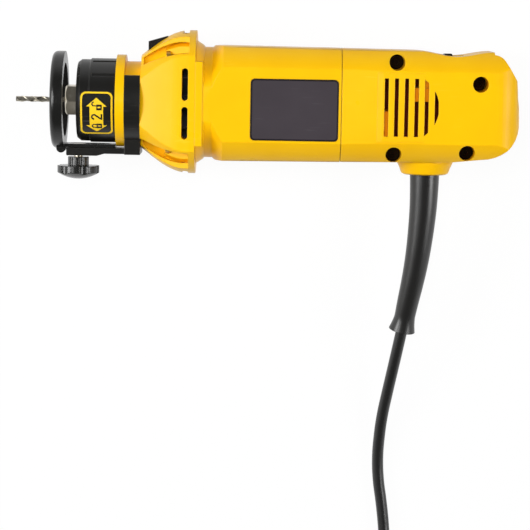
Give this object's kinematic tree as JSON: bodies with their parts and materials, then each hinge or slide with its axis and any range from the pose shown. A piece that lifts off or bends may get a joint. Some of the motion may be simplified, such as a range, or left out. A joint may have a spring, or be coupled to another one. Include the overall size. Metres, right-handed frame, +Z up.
{
  "type": "drywall cut out tool",
  "caption": "Corded hand-held drywall cut-out tool with a spiral bit, sliding ring foot, turning nose sleeve, spindle lock and rear thumb switch.",
  "frame": {"origin": "on the floor under the middle of the tool, which lies on its side; the cord and what is on it are not counted", "axes": "+X along the spindle away from the bit, +Y towards the side with the thumb switch, +Z up from the floor"},
  "size_m": [0.299, 0.4716, 0.064],
  "materials": {
    "housing_yellow": "satin moulded",
    "black_plastic": "fine moulded grain",
    "knob_plastic": "glossy moulded",
    "black_metal": "black enamel",
    "steel": "turned",
    "laminations": "stacked sheet",
    "copper": "bare",
    "brush_gear": "moulded",
    "carbon": "pressed carbon",
    "fan": "moulded",
    "label": "bare panel",
    "cord_rubber": "matte",
    "plug": "moulded",
    "blade_metal": "bare"
  },
  "bodies": {
    "housing": {"front_housing": "housing_yellow", "motor_housing": "housing_yellow", "handle_shell_near": "housing_yellow", "handle_shell_far": "housing_yellow", "guide_bracket": "black_plastic", "rear_inlay": "black_plastic", "cord_clamp": "black_plastic", "fan_baffle": "black_plastic", "switch_body": "black_plastic", "handle_screws": "steel", "housing_screws": "steel", "bracket_screws": "steel", "sleeve_clip": "steel", "front_bearing": "steel", "rear_bearing": "steel", "lock_spring": "steel", "brush_springs": "steel", "field_core": "laminations", "field_coils": "copper", "brush_holders": "brush_gear", "carbon_brushes": "carbon", "label_plate": "label", "strain_relief": "cord_rubber", "cord_lead": "cord_rubber", "cord_coil": "cord_rubber", "cord_tie": "cord_rubber", "plug_body": "plug", "plug_blades": "blade_metal"},
    "spindle": {"collet_nut": "steel", "collet": "steel", "cutting_bit": "steel", "armature_shaft": "steel", "armature_core": "laminations", "armature_windings": "copper", "commutator": "copper", "cooling_fan": "fan"},
    "foot": {"depth_foot": "black_metal"},
    "knob": {"depth_knob": "knob_plastic", "depth_stud": "steel"},
    "sleeve": {"nose_sleeve": "black_plastic"},
    "lock": {"lock_button": "black_plastic"},
    "switch": {"switch_slider": "black_plastic"}
  },
  "joints": [
    {"name": "spindle_spin", "type": "hinge", "parent": "housing", "child": "spindle", "pos_m": [0, 0.0023, 0.032], "axis": [1, 0, 0], "continuous": true},
    {"name": "sleeve_turn", "type": "hinge", "parent": "housing", "child": "sleeve", "pos_m": [0, 0.0023, 0.032], "axis": [1, 0, 0], "continuous": true},
    {"name": "depth_slide", "type": "slide", "parent": "housing", "child": "foot", "axis": [-1, 0, 0], "range_m": [0, 0.015]},
    {"name": "knob_turn", "type": "hinge", "parent": "housing", "child": "knob", "pos_m": [-0.112, 0, 0.032], "axis": [0, 1, 0], "range_deg": [0, 360]},
    {"name": "lock_press", "type": "slide", "parent": "housing", "child": "lock", "axis": [0, -1, 0], "range_m": [0, 0.0035], "stiffness_N_per_m": 600, "springref_m": -0.003, "deforming": ["lock_spring"]},
    {"name": "switch_slide", "type": "slide", "parent": "housing", "child": "switch", "axis": [-1, 0, 0], "range_m": [0, 0.006]}
  ]
}
